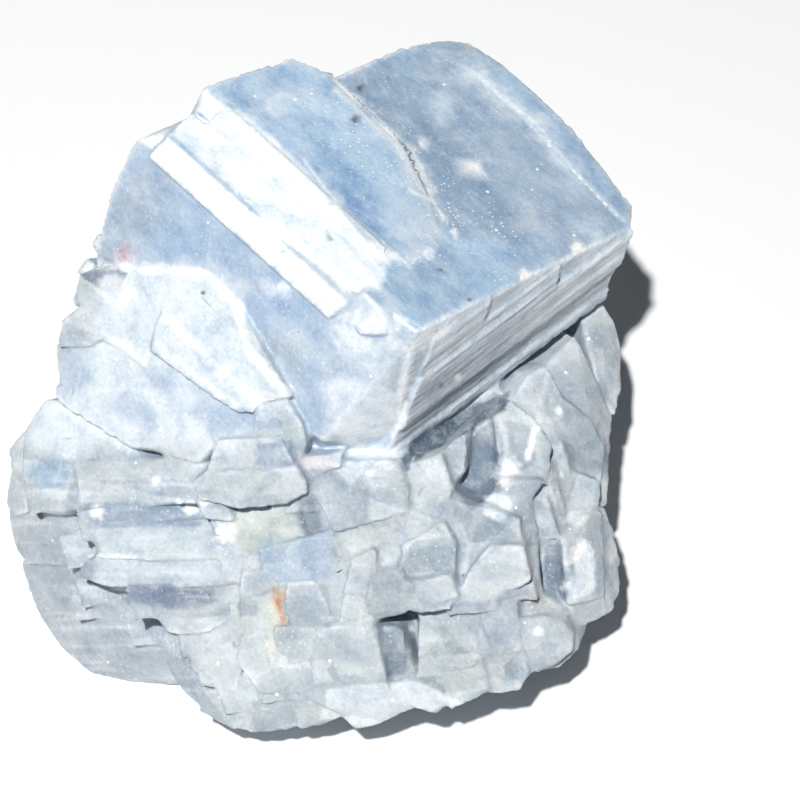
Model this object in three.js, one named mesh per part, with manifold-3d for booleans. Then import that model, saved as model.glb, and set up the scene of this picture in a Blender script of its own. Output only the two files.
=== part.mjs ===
// Blue calcite crystal: one natural mass, a large stepped cleavage rhomb grown into a crowd of smaller
// cleavage blocks. Millimetres, +Z up, standing on its broad lower face.
import * as THREE from "three";
import { ConvexGeometry } from "three/addons/geometries/ConvexGeometry.js";
import { mergeVertices } from "three/addons/utils/BufferGeometryUtils.js";
import Module from "manifold-3d";

const wasm = await Module();
wasm.setup();

// Driving dimensions, in millimetres and degrees.
// The mass is laid out as it is sighted from in front and above: x across, y up the slope of the sight,
// z out towards the eye. SIGHT_HEIGHT is how high the middle of that layout stands over the table.
const SIGHT_ELEVATION = 55;
const SIGHT_DISTANCE = 333.3;
const SIGHT_HEIGHT = 18.0;
const SIGHT_BACK = 1.2;
const SIGHT_SIDE = 10.1;
const RHOMB_LENGTH = 41.3;
const RHOMB_WIDTH = 42.6;
const RHOMB_DEPTH = 27;
const UPPER_PLATE_STEP = 1.3;
const SEED = 11;

// Calcite cleaves along three planes. Its three edge directions meet at 101.9 degrees at a blunt corner
// and lie this far from the three-fold axis.
const EDGE_FROM_AXIS = 63.75;

const degrees = THREE.MathUtils.degToRad;

function seeded(start) {
  let state = start;
  return (low = 0, high = 1) => {
    state = (Math.imul(state, 1664525) + 1013904223) >>> 0;
    return low + ((high - low) * state) / 4294967296;
  };
}

// The three edge directions of a crystal whose axis leans from the sight by lean, towards the compass
// angle toward, and is turned by spin about itself.
function cleavage(lean, toward, spin) {
  const turn = new THREE.Quaternion()
    .setFromAxisAngle(new THREE.Vector3(0, 0, 1), degrees(toward))
    .multiply(new THREE.Quaternion().setFromAxisAngle(new THREE.Vector3(0, 1, 0), degrees(lean)))
    .multiply(new THREE.Quaternion().setFromAxisAngle(new THREE.Vector3(0, 0, 1), degrees(spin)));
  const polar = degrees(EDGE_FROM_AXIS);
  return [0, 120, 240].map((angle) =>
    new THREE.Vector3(
      Math.sin(polar) * Math.cos(degrees(angle)),
      Math.sin(polar) * Math.sin(degrees(angle)),
      -Math.cos(polar),
    ).applyQuaternion(turn),
  );
}

// A point sighted at (across, up) on the middle plane that really stands out in front of it.
function sighted(across, up, out) {
  const nearer = 1 - out / SIGHT_DISTANCE;
  return new THREE.Vector3(across * nearer, up * nearer, out);
}

function solidOf(points) {
  const geometry = new ConvexGeometry(points);
  geometry.deleteAttribute("normal");
  geometry.deleteAttribute("uv");
  const merged = mergeVertices(geometry, 1e-5);
  return new wasm.Manifold(
    new wasm.Mesh({
      numProp: 3,
      vertProperties: new Float32Array(merged.attributes.position.array),
      triVerts: new Uint32Array(merged.index.array),
    }),
  );
}

function joined(solids) {
  return solids.reduce((whole, solid) => whole.add(solid));
}

// The large rhomb. Its corner is the blunt front corner of the top face. u runs up and back to the left
// along that face, v runs back to the right, w runs down into the mass.
const [EDGE_U, EDGE_W, EDGE_V] = cleavage(18.0, -38.1, 175.7);
const CORNER = sighted(2.6, 8.1, 26.3);

function inRhomb(u, v, w) {
  return CORNER.clone()
    .addScaledVector(EDGE_U, u)
    .addScaledVector(EDGE_V, v)
    .addScaledVector(EDGE_W, w);
}

function rhombHull(points) {
  return solidOf(points.map(([u, v, w]) => inRhomb(u, v, w)));
}

// The left half of the rhomb. Its front corner is broken off, and its upper left edge is a bright
// parting face that lies between the top and the left face.
function leftHalf() {
  const far = RHOMB_LENGTH;
  return rhombHull([
    [0.6, 0.2, 0.1],
    [0.6, 21, 0],
    [far - 5.6, 21, 0],
    [far - 3, 9, 0],
    [far - 5.6, 6.2, 0],
    [24, 6.6, 0],
    [9.3, 3.4, 0],
    [8.6, -0.4, 1],
    [10.4, -2.3, 5.2],
    [far - 2.9, -2.3, 4.3],
    [far - 0.4, -2.3, 3.9],
    [far + 0.3, -2.3, 5.4],
    [far + 1.1, -2.3, 12.4],
    [far + 0.7, -2.4, 20],
    [far, -1, RHOMB_DEPTH + 2],
    [far - 1.6, -0.6, 2.6],
    [far - 1, 20, 4],
    [far - 1, 20, RHOMB_DEPTH],
    [9.2, -2.3, 9],
    [5.2, -2.3, 19],
    [0.6, 0.7, 3.6],
    [0.6, 3.1, 14.2],
    [1.2, 4.8, 20.6],
    [8, 21, 20],
    [8, 20, RHOMB_DEPTH],
    [8, 3, RHOMB_DEPTH],
  ]);
}

// The right half, whose back edge stops short of the left half's.
function rightHalf() {
  const wide = RHOMB_WIDTH;
  const far = RHOMB_LENGTH - 5.6;
  return rhombHull([
    [0.6, 14, 0],
    [0.6, 36.3, 0.2],
    [3, 39.4, 0.4],
    [14.2, wide - 1.2, 0.4],
    [16.4, wide + 0.3, 0.2],
    [22, wide + 0.7, 0.2],
    [29.2, wide + 0.7, 0.2],
    [far - 4.5, wide - 1, 0],
    [far - 2.4, wide - 5.2, 0],
    [far - 2.1, wide + 0.4, 0.8],
    [far - 0.7, wide - 0.9, 0.9],
    [far - 0.1, wide - 3.2, 0.7],
    [far + 0.4, 33.2, 0],
    [far, 16, 0],
    [far + 0.8, 16, 5],
    [far - 1, wide - 2, 6],
    [0.6, 36.3, 10.2],
    [8, wide - 2.2, RHOMB_DEPTH - 8],
    [16, wide, RHOMB_DEPTH - 6],
    [far - 3, wide - 2, RHOMB_DEPTH - 4],
    [far, 18, RHOMB_DEPTH],
    [8, 18, RHOMB_DEPTH],
    [0.6, 14, 17.4],
  ]);
}

// The upper plate on the left of the top face, which thins out towards the front corner.
function upperPlate() {
  const far = RHOMB_LENGTH;
  const rise = -UPPER_PLATE_STEP;
  return rhombHull([
    [7, 4.5, 0.1],
    [8.2, 12.5, 0.1],
    [9.6, 11.6, -0.15],
    [16.2, 17.4, rise * 0.42],
    [22, 20.3, rise * 0.72],
    [far - 5.8, 20.6, rise],
    [far - 4.4, 18.8, rise],
    [far - 1.8, 17.9, rise],
    [far - 1.2, 9.2, rise],
    [far - 0.9, 5.2, rise + 0.3],
    [far - 2.4, 3.4, rise + 1.5],
    [far - 5.6, 6.3, rise],
    [28, 7.6, rise * 0.8],
    [24, 6.7, rise * 0.65],
    [13.8, 5.2, -0.2],
    [far - 1.5, 18.8, 4],
    [far - 5.8, 20.8, 2],
    [far - 1.4, 3.6, 3],
    [20, 12, 3],
    [12, 8, 2],
  ]);
}

// The bright parting face between the top and the left face: three bands side by side along u, each
// turned a little from the next. The lowest overhangs the left face with a sharp edge.
function partingBands() {
  const outward = new THREE.Vector3(-0.08, 0.127, 0.989);
  const thick = 3;
  const farLift = 0.5;
  const bands = [
    { near: 9.8, far: 38.7, low: [-2.7, 4.5], high: [-0.3, 2.75], lowLift: 0.25, highLift: 0.6 },
    { near: 8.4, far: 38.9, low: [-0.4, 2.85], high: [2.9, 0.85], lowLift: 0.45, highLift: 0.35 },
    { near: 11.6, far: 36.8, low: [2.8, 0.95], high: [5.7, -0.8], lowLift: 0.5, highLift: 0.2 },
  ];
  return bands.map(({ near, far, low, high, lowLift, highLift }) => {
    const ends = [
      [near, low, lowLift],
      [far, low, lowLift + farLift],
      [near - 0.4, high, highLift],
      [far, high, highLift + farLift],
    ];
    const face = ends.map(([u, [v, w], lift]) => inRhomb(u, v, w).addScaledVector(outward, lift));
    return solidOf([...face, ...face.map((corner) => corner.clone().addScaledVector(outward, -thick))]);
  });
}

// A small bright square beyond the near end of the parting face.
function partingSquare() {
  return block(INTO_FRONT, 5, [
    [-6.7, 12.4, 24.1], [-4.4, 13.5, 25.3], [-1.5, 10.3, 26.5], [-1.6, 7.8, 26.2], [-5.2, 8, 24.9],
  ]);
}

// A low plate along the right edge of the top face.
function edgePlate() {
  const wide = RHOMB_WIDTH;
  return rhombHull([
    [1.4, 36.4, 0], [3, 39.3, 0.05], [14.4, wide - 1.3, 0], [16.2, wide - 0.1, -0.1],
    [28.2, wide + 0.3, -0.15], [28.8, wide - 3.4, -0.2], [3, 36.2, -0.1],
    [3, 37, 2], [16, wide - 1.6, 2], [27, wide - 1.4, 2],
  ]);
}

// Thin ledges that run down across the front right face. Each stands a little prouder or deeper than
// its neighbours, and the last ones overhang the crevice below.
function frontLedges() {
  const jitter = seeded(SEED);
  const ledges = [];
  const count = 12;
  const fall = 0.324;
  const width = 36.3;
  const pitch = 1.85;
  const lowest = (v) => 10.4 + fall * (width - v);
  for (let i = 0; i < count; i += 1) {
    const start = 0.1 + fall * -width + (i + 1) * pitch;
    const proud = i < 4 ? 0.15 + 0.1 * (i % 2) : jitter(-0.3, 0.35);
    const corners = [];
    for (const v of [3.4, 12, 24, width]) {
      const line = start + fall * (width - v);
      const top = Math.max(0.1, line);
      const bottom = Math.min(line + pitch + 0.05, lowest(v));
      if (bottom - top < 0.15) continue;
      corners.push([proud, v, top], [proud, v, bottom], [4, v, top], [4, v, bottom]);
    }
    if (corners.length >= 8) ledges.push(rhombHull(corners));
  }
  return ledges;
}

// The lower mass is a crowd of smaller crystals. Each visible face is given by its corners as they are
// sighted, [across, up, out], and reaches back into the mass along one of the directions below.
const INTO_FRONT = new THREE.Vector3(0.18, 0.27, -0.945);
const INTO_LEFT = new THREE.Vector3(0.36, 0.12, -0.925);
const INTO_RIGHT = new THREE.Vector3(-0.34, 0.2, -0.92);

function block(into, deep, face) {
  const corners = face.map(([across, up, out]) => sighted(across, up, out));
  return solidOf([...corners, ...corners.map((corner) => corner.clone().addScaledVector(into, deep))]);
}

function blocks(into, deep, faces) {
  return faces.map((face) => block(into, deep, face));
}

// A face whose corners all stand out equally far.
function level(out, outline) {
  return outline.map(([across, up]) => [across, up, out]);
}

// The pale plates under the left face of the rhomb. Their steps run down to the right, like its own.
function leftPlates() {
  const tongue = [
    [-33.1, 16.5, 13.8], [-29.4, 17.2, 15.1], [-24.4, 15.8, 17.6], [-22.2, 14.2, 18.4],
    [-20, 11.2, 18.8], [-19.6, 6.9, 18.2], [-19, 4.6, 18], [-13.8, 0.4, 18.6],
    [-17.2, -0.3, 18.6], [-25, 6.9, 17.4], [-29.4, 11, 15.8], [-31.2, 12.5, 14.9],
  ];
  const rib = [
    [-29.6, 11.2, 15.9], [-25, 7.1, 17.6], [-17, 0.2, 19], [-18.6, -1.6, 18.6],
    [-20.4, -1.6, 18.2], [-31.4, 6.2, 14.8], [-30.6, 9.4, 15.4],
  ];
  const paleSlab = [
    [-33.2, 16.4, 13.4], [-31, 12.6, 14.4], [-29.2, 11, 15.2], [-30.4, 9.4, 14.8],
    [-31, 6.2, 14], [-31.9, 4.1, 13.4], [-37.5, 7.9, 11.4], [-36, 9.4, 12], [-35.2, 12.5, 12.6],
  ];
  const whiteSlab = [
    [-42.2, 10, 10.2], [-40, 11.6, 11], [-36, 9.4, 12.4], [-37.3, 7.9, 12],
    [-38.8, 6.7, 11], [-42.6, 6.8, 9.6],
  ];
  const whiteLump = [
    [-40, 15.6, 9.8], [-37.5, 16.6, 10.8], [-33.8, 16.4, 12.6], [-33, 14.4, 13.2],
    [-35.2, 12.3, 12.9], [-36, 9.6, 12.2], [-40, 11.6, 10.4], [-40.4, 13.8, 9.8],
  ];
  const blueSlab = [
    [-42.9, 6.9, 8.4], [-37.5, 8.1, 10.4], [-31.9, 4.3, 12.6], [-31.2, 6.3, 13.4],
    [-24.4, 1.4, 15.8], [-30, 0.6, 13.2], [-35, -0.2, 11.4], [-42.6, 1.8, 8.2],
  ];
  const paleFoot = [
    [-43.2, 1.6, 8.6], [-35, 0, 12.2], [-30, 0.8, 14], [-24.4, 1.4, 16], [-20, -1.6, 17.2],
    [-23, -2, 17], [-23.2, -5.6, 16.8], [-25, -7.8, 16], [-33.8, -6, 12.8], [-42.8, -0.2, 8.8],
  ];
  const greyFoot = [
    [-46.9, -3.8, 6.2], [-45.2, -2.8, 7], [-44.2, 0, 7.6], [-42.5, -0.2, 8],
    [-33.8, -6, 11.8], [-31.2, -7.8, 12.6], [-40.6, -8.3, 9.8], [-47.2, -7.5, 7.4],
  ];
  const speckledShelf = [
    [-40.8, -8, 10.2], [-31.2, -7.4, 13], [-25, -7.2, 15], [-24.4, -9.3, 15.8],
    [-25.6, -9.9, 15.8], [-40.2, -9.9, 11.2],
  ];
  return blocks(INTO_LEFT, 9, [
    tongue, rib, paleSlab, whiteSlab, whiteLump, blueSlab, paleFoot, greyFoot, speckledShelf,
  ]);
}

// Small dark lumps that stick out where the left face of the rhomb meets the plates.
function edgeLumps() {
  return blocks(INTO_LEFT, 4, [
    level(10.6, [[-37.8, 16.4], [-36.2, 17.8], [-33.6, 17.2], [-32.8, 15.4], [-34.4, 14.2], [-36.6, 14.8]]),
    level(8.8, [[-41, 12.6], [-40.2, 14.6], [-38.8, 14.4], [-38.6, 12.8], [-39.6, 11.6], [-40.6, 11.6]]),
    level(9.4, [[-38.4, 19.4], [-37.8, 20.6], [-36.8, 20.2], [-36.8, 18.4], [-37.8, 18.2]]),
    level(8.4, [[-40.4, 16], [-39.2, 17.6], [-37.8, 16.6], [-39, 15.2]]),
  ]);
}

// Flat shelves at the far left, stacked over one another with deep shadowed gaps between them.
function leftShelves() {
  const shelves = blocks(INTO_LEFT, 10, [
    [
      [-47.2, -7.6, 7.8], [-40.6, -8.2, 10], [-40, -13.2, 11], [-42.2, -14.7, 10.6],
      [-46, -14.1, 8.6], [-47, -11.2, 7.8],
    ],
    [
      [-40.4, -9.6, 11], [-25.6, -9.7, 15.4], [-25.4, -12.9, 15.8], [-31.2, -13.1, 14], [-39.6, -13.9, 11.4],
    ],
    [
      [-37.8, -16.5, 12], [-34.4, -15.8, 13], [-25, -14.9, 15.2], [-21.9, -15.2, 15.8],
      [-19.7, -17.5, 16.6], [-20.4, -19.7, 17], [-31.2, -20, 14.6], [-38.5, -19.7, 12.8], [-38, -18, 12.4],
    ],
    [
      [-38.4, -19.9, 12], [-20.4, -19.6, 16.4], [-19.4, -22.8, 16.6], [-24.4, -23.4, 15.8],
      [-36.9, -23.2, 12.6], [-40, -22.2, 11.4], [-39.8, -20.4, 11.4],
    ],
    [[-25.4, -22.8, 15], [-19.4, -22.6, 16], [-20, -25, 15.6], [-23.2, -25, 15]],
  ]);
  const gapFloors = blocks(INTO_LEFT, 6, [
    [
      [-39.6, -12.8, 6], [-25, -12.4, 9.4], [-24, -15.6, 9.8], [-37, -16.8, 6.8], [-39, -18.4, 6.6],
    ],
    [[-35, -22.8, 6.4], [-20, -23.2, 9.6], [-20, -25.8, 9.8], [-30, -26.8, 8], [-32, -26, 7.4]],
  ]);
  const farLumps = blocks(INTO_LEFT, 6, [
    [[-48.8, -6.2, 3.4], [-47.2, -4.4, 4.4], [-46.4, -3.6, 5], [-46.6, -8, 5.6], [-48.6, -9, 4]],
    [[-48.5, -8.6, 3.6], [-46.8, -8.4, 5.2], [-46.6, -14, 5.4], [-48.2, -14.6, 3.4], [-49.1, -12.9, 2.4]],
  ]);
  return [...shelves, ...gapFloors, ...farLumps];
}

// The smooth shaded side at the lower left, which runs down to the table.
function leftFoot() {
  return blocks(INTO_LEFT, 12, [
    [
      [-49.1, -13, 0.4], [-48, -13.6, 3], [-42.4, -14.4, 7.4], [-37, -16, 10], [-37.6, -20.6, 9.6],
      [-46.6, -20.6, 1.4], [-48.2, -18, -0.2],
    ],
    [
      [-47.3, -20.2, -0.2], [-40, -20.2, 6.8], [-34.6, -20.4, 9.8], [-34, -23.6, 9.2],
      [-40.6, -24, 4.4], [-46.3, -23.9, -1.8],
    ],
    [
      [-46.4, -23.4, -2.4], [-40.6, -23, 4.2], [-33.8, -23, 8.8], [-31, -26.2, 9.2], [-29.6, -30, 8.6],
      [-27.4, -35.6, 3.6], [-33.8, -35.2, 2.8], [-38.8, -34.1, 2], [-42.2, -31.2, 0], [-44.8, -27.4, -2.6],
    ],
  ]);
}

// The block cluster in the middle, rounded over its top and overhanging a dark wedge on its right.
function middleCluster() {
  const cluster = blocks(INTO_FRONT, 9, [
    level(18.8, [[-24.4, -9.4], [-22.8, -5.2], [-17.2, -4.8], [-14.9, -5], [-13.1, -8.6], [-18.8, -9.6]]),
    [
      [-26, -10.4, 18.6], [-24.4, -9.2, 19.2], [-18.8, -9, 19.8], [-13.2, -8.4, 19.8],
      [-11.8, -10.2, 19.4], [-11.6, -11.8, 19], [-14.4, -13, 19.2], [-20, -13.6, 19.4], [-25, -12.6, 18.8],
    ],
    level(17.8, [[-25.6, -12.4], [-21.9, -12.8], [-20.6, -15.2], [-24.4, -15]]),
    level(17.9, [[-17.8, -1], [-14.4, 0.2], [-12.4, -3], [-11.8, -5.6], [-12.4, -7.4], [-18.6, -5]]),
    level(17.2, [[-23.2, -5.4], [-23.6, -1.9], [-20.2, -1.4], [-17.6, -1], [-17.4, -5.4]]),
    [[-13.8, -7.6, 17.6], [-7.4, -6.8, 16.8], [-7.6, -8.4, 17.6], [-11, -9.8, 18], [-12.6, -9, 18]],
  ]);
  const wedgeFloor = block(INTO_FRONT, 5, level(12.6, [[-14.6, -12], [-10.6, -12], [-8.4, -16.8], [-12.6, -17.4]]));
  const yellowLump = level(17, [
    [-21.9, -15], [-18.8, -13.6], [-14.6, -14], [-13, -16.2], [-13.6, -18.2], [-17.2, -19.1], [-19.8, -18.2],
  ]);
  const blueBlock = level(17.6, [
    [-17.6, -18.8], [-12.5, -18], [-8.6, -16.4], [-7.6, -19.8], [-10, -22.6], [-14, -23.2], [-17, -22],
  ]);
  return [...cluster, wedgeFloor, ...blocks(INTO_FRONT, 8, [yellowLump, blueBlock])];
}

// Blocks with clean parallel faces, row under row, on the front of the mass.
function frontBlocks() {
  const upperRow = [
    [[-11, -9.6, 17.4], [-7.5, -7.8, 16.6], [0, -7.7, 15.8], [1, -11.2, 16.8], [1, -14, 17.6],
      [-5.6, -15.8, 18.2], [-8.2, -16.4, 18], [-10, -13.1, 17.8]],
    level(17.2, [[-8.4, -15.8], [1, -13.6], [5.6, -15.4], [0.6, -18.2], [0, -21.4], [-3.6, -22.6], [-6.2, -20]]),
    level(18.4, [[0.4, -18.2], [5.4, -15.5], [6.9, -18.1], [6.9, -22], [0.2, -23.2], [0, -21.2]]),
    level(15.8, [[1.2, -8.1], [5.2, -6.9], [6.4, -11.2], [3.8, -12.8], [1, -14.2]]),
    level(16.8, [[1, -13.8], [3.8, -12.6], [6.4, -11.3], [6.3, -17.6], [5.4, -15.7]]),
    level(14.4, [[5, -6.9], [6.9, -4.8], [8.6, -3.7], [8.2, -8.8], [6.3, -11.4]]),
  ];
  const middleRow = [
    level(19.6, [[-3.5, -22.3], [0, -21.2], [1.8, -25], [0.2, -27.3], [-3.4, -27.5], [-4.1, -25]]),
    level(19.9, [[0.2, -23.1], [6.4, -21.9], [7.3, -25], [6.2, -26.1], [1.5, -26.9], [1.6, -25]]),
    level(18.9, [[-6.2, -20], [-3.2, -18.8], [-3.1, -27.6], [-7.6, -27.8], [-7, -23.8]]),
    level(18.8, [[11.2, -18.2], [15.3, -18.4], [16.2, -22.5], [14, -24.1], [8.8, -25.4], [7.2, -25], [8.4, -21.6]]),
    level(16.8, [[6.2, -12.4], [9.8, -13.8], [15, -15], [15.2, -18.6], [11.2, -18.6], [7, -22], [6.2, -17.6]]),
    level(18.5, [[-14.2, -23], [-11, -22.6], [-10, -23.4], [-8.5, -27.6], [-13.5, -28.6], [-14.3, -26.2]]),
    level(17.9, [[-10.4, -20.2], [-6, -19.8], [-6.8, -23.8], [-7.4, -27.8], [-9, -27.6], [-10.2, -23.5]]),
    level(17.6, [[-19.8, -21.4], [-15.4, -22], [-13.9, -23], [-17.2, -24.2], [-20.2, -25]]),
    level(17.2, [[-20, -25], [-17.2, -23.9], [-14.1, -23.5], [-14, -28.6], [-17.2, -30], [-19.8, -29.6]]),
  ];
  const lowerRow = [
    [[-10.1, -28.8, 19.6], [-3.6, -27.6, 19.4], [-1.4, -36.4, 18.6], [-6.9, -39.5, 17.6],
      [-10.4, -37.8, 18], [-11, -32.5, 19]],
    [[-15.8, -28.6, 18.8], [-10, -28.4, 18.9], [-10.2, -37.6, 17.6], [-12.6, -36.4, 17.6], [-15, -33.6, 18.2]],
    level(17.8, [[-20, -29.8], [-15.6, -28.8], [-14.8, -33.6], [-12.6, -36.4], [-17.4, -36.6], [-20.2, -33]]),
    level(17.4, [[2, -26.6], [6.4, -25.8], [9.9, -25.4], [10.4, -31.8], [2.5, -32.9]]),
    level(17.9, [[9.6, -24.9], [14.5, -24.6], [14.9, -31.4], [10.1, -32]]),
    level(18.4, [[2.3, -32.5], [10, -31.7], [11.4, -36.4], [6.5, -38.6], [4.8, -37.6], [2.2, -35]]),
    level(17.5, [[10, -31.8], [14.9, -31], [16.2, -34], [14.8, -36.4], [11.2, -36.8]]),
    level(18, [[-1.6, -35.8], [2, -34.4], [5.1, -35], [6.5, -37.6], [4.4, -39.1], [0, -37.9]]),
    [[-7, -38, 18.4], [-1.4, -36.2, 18.4], [1, -37.5, 18], [2, -38.3, 17.4], [-2.8, -40.4, 16.4],
      [-5.5, -41.2, 16], [-7.1, -39.6, 17]],
    [[-12.8, -36.8, 17.4], [-9.2, -37.8, 17.4], [-7, -39.4, 16.6], [-9.4, -40.5, 15.8], [-12.6, -41, 15.6]],
    [[-18.9, -37.6, 16.6], [-12.4, -36.8, 17], [-11, -39.8, 16], [-13.8, -41, 15.2], [-18.2, -41.5, 15],
      [-20.4, -41.1, 15]],
    [[-24.5, -36.4, 15.4], [-20.9, -36.2, 16.4], [-18.6, -38.2, 16.4], [-19.4, -40.6, 15.2],
      [-20.6, -41.2, 14.8], [-23.2, -40, 14.2], [-25, -38.8, 14]],
    [[-25.2, -31, 16.4], [-21, -30.4, 17.4], [-19.7, -33, 17.4], [-20.5, -36.4, 16.8],
      [-24.6, -35.7, 16], [-26.4, -33.1, 15.6]],
    [[14.3, -27.6, 17.6], [18.1, -27.2, 17.6], [20.6, -27.8, 17], [21.6, -29.5, 16.6], [21.4, -31.4, 16.4],
      [19.4, -33, 16.6], [16, -34.3, 16.9], [14.6, -31.9, 17.5]],
    [[18, -27.3, 16.8], [21.1, -27.6, 15.2], [22.3, -29.5, 14.6], [22.1, -31.5, 14.2], [19.8, -33.3, 14.8],
      [17, -34, 16]],
    [[14.2, -24.8, 16.2], [18.2, -24.6, 15.4], [21, -26.2, 14], [21.6, -27.8, 14], [14.6, -27.8, 16]],
  ];
  const slotFloor = [[-3.6, -27.2, 15], [2.2, -26.4, 13.4], [2.6, -34.8, 13.4], [-1.6, -36.2, 15]];
  return blocks(INTO_FRONT, 9, [...upperRow, ...middleRow, ...lowerRow, slotFloor]);
}

// A flat lobe over a bright nub at the left end of the front blocks.
function lowerLeftLobe() {
  return blocks(INTO_FRONT, 8, [
    [
      [-30, -26.9, 14.6], [-26.9, -25.7, 13.8], [-23.5, -24.9, 14], [-20.2, -25.4, 15.4],
      [-21.8, -27.8, 17.2], [-24.4, -29.1, 17.4], [-28.1, -29.4, 16.2], [-30.1, -28.8, 15.4],
    ],
    [[-27.6, -28.8, 15.6], [-24.4, -28.6, 16.8], [-24.8, -32, 16.6], [-27.2, -32.2, 15.2]],
    [
      [-30, -28.8, 13.8], [-27.4, -28.8, 14.6], [-26.6, -33, 14.6], [-24.3, -36.2, 15], [-25, -38.2, 13.4],
      [-26.6, -36.9, 12.4], [-28.1, -35.2, 12], [-29.5, -31.8, 12.8],
    ],
  ]);
}

// Tall narrow blocks packed side by side on the right, leaning back under the rhomb.
function rightColumns() {
  return blocks(INTO_RIGHT, 8, [
    level(11.4, [[8.4, -3.8], [11.4, -2.4], [13, -6.2], [13, -10], [11, -12.2], [9.4, -14], [6.2, -11.5]]),
    level(12.8, [[11.8, -2.2], [14, -0.3], [17, -2.6], [19, -5.8], [18.6, -10.4], [13, -10.3], [13.1, -6.2]]),
    level(14.6, [[10.8, -12.4], [13, -10], [18.6, -10.2], [16.4, -12.8], [14, -15.4], [10.2, -14.4]]),
    [[16, 2.8, 8], [18.3, 4.1, 7], [20.4, 0.3, 7.6], [20.1, -2.6, 8.6], [19, -5.8, 9.8], [16.8, -2.6, 9.6], [13.9, -0.3, 9.2]],
    [[18.2, 4.1, 5.4], [21.9, 7.8, 2.6], [25.1, 0.7, 3.6], [26.5, -2.2, 2.8], [25.6, -6.4, 4.6], [23.8, -2.6, 6.2], [20.2, 0.2, 6.4]],
    [[23, 9.8, 0.4], [25.5, 11.9, -1.4], [26.8, 9.4, -2], [27.6, 6.2, -2], [27.6, 1.5, -0.6], [26.7, -2, 1], [25, 0.8, 1.8], [23.4, 7, 1]],
    [[20, -2.4, 8.8], [20.3, 0.3, 7.8], [23.8, -2.4, 6.8], [25.6, -6.2, 6], [25.1, -10.2, 7], [21.2, -8.9, 8.8], [18.9, -5.8, 9.8]],
    [[26.5, -1.8, 2.2], [26, -6.3, 4], [25.4, -10, 5.4], [25.8, -13, 6.4], [25, -14, 7.2], [23.6, -10, 7.4], [24.6, -5, 5.6]],
    [[21.8, -9.2, 9.8], [25, -10.2, 8.8], [24.9, -13, 9.2], [23.7, -14.1, 10], [22.2, -15.7, 10.8], [20.1, -15.9, 11.4], [20.6, -12.4, 10.8]],
    [[18.6, -9.8, 10.8], [21.2, -8.7, 9.8], [21.9, -9.3, 9.8], [20.8, -12.5, 11.2], [20.1, -17.6, 12.4], [17.4, -18.2, 13], [16.2, -12.7, 12.4]],
    [[14, -15.2, 14.8], [16.3, -12.6, 14], [17.5, -18, 14.4], [18.2, -25, 15.6], [16.2, -25.7, 16.4], [15.2, -18.4, 15.8]],
    level(12.4, [[17.4, -18], [20.4, -17.2], [21, -25.1], [18.2, -25.5]]),
    [[20.3, -17.4, 14], [23.2, -14.4, 12], [25.2, -14, 10.6], [25.6, -24.6, 12.4], [22.2, -25.2, 14.6], [21, -25.6, 14.8]],
    [[24.9, -13.8, 9.8], [25.5, -13.6, 9], [26.6, -16.2, 8.6], [27.4, -20, 8.8], [27.4, -23.8, 9.6], [26.6, -26.3, 10.6], [25, -27.2, 11.8], [25, -20, 11.6]],
    [[21, -25, 14.4], [25.6, -24.2, 12], [25.8, -26.4, 11.4], [25, -27.2, 11.8], [22.2, -28.4, 13.2]],
  ]);
}

// Everything above grows from one hidden body that stands on the table.
const TO_TABLE = degrees(SIGHT_ELEVATION);

function standing(x, y, z) {
  const side = x - SIGHT_SIDE;
  const back = y - SIGHT_BACK;
  const rise = z - SIGHT_HEIGHT;
  return new THREE.Vector3(
    side,
    back * Math.sin(TO_TABLE) + rise * Math.cos(TO_TABLE),
    rise * Math.sin(TO_TABLE) - back * Math.cos(TO_TABLE),
  );
}

// The hidden body: a broad foot on the table and a shoulder that carries the rhomb.
function body() {
  const tableOutline = [
    [-32, -20], [-27, -25], [-17, -25.6], [2, -22], [16, -20], [24, -12], [27, 2], [23, 16],
    [9, 24], [-12, 23], [-27, 12], [-34, -4],
  ];
  const waistOutline = [
    [-30, -12], [-20, -18], [0, -20], [20, -18], [28, -6], [30, 6], [24, 20], [8, 29],
    [-14, 27], [-28, 14], [-34, 0],
  ];
  const shoulderOutline = [[-27, 2], [-8, -8], [6, -8], [12, 2], [8, 20], [-4, 24], [-20, 18]];
  const waist = 16;
  const shoulder = 30;
  const at = (outline, height) => outline.map(([x, y]) => standing(x, y, height));
  return [
    solidOf([...at(tableOutline, -4), ...at(tableOutline, 0.5), ...at(waistOutline, waist)]),
    solidOf([...at(waistOutline, waist - 1), ...at(shoulderOutline, shoulder)]),
  ];
}

// Cleavage blocks around the back and the sides, each sunk for most of its length in the body. The
// crystals there lie in three slightly different ways.
const backLattices = [[EDGE_U, EDGE_V, EDGE_W], cleavage(44.6, 56.6, 240), cleavage(24, -52, 186)];

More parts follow.
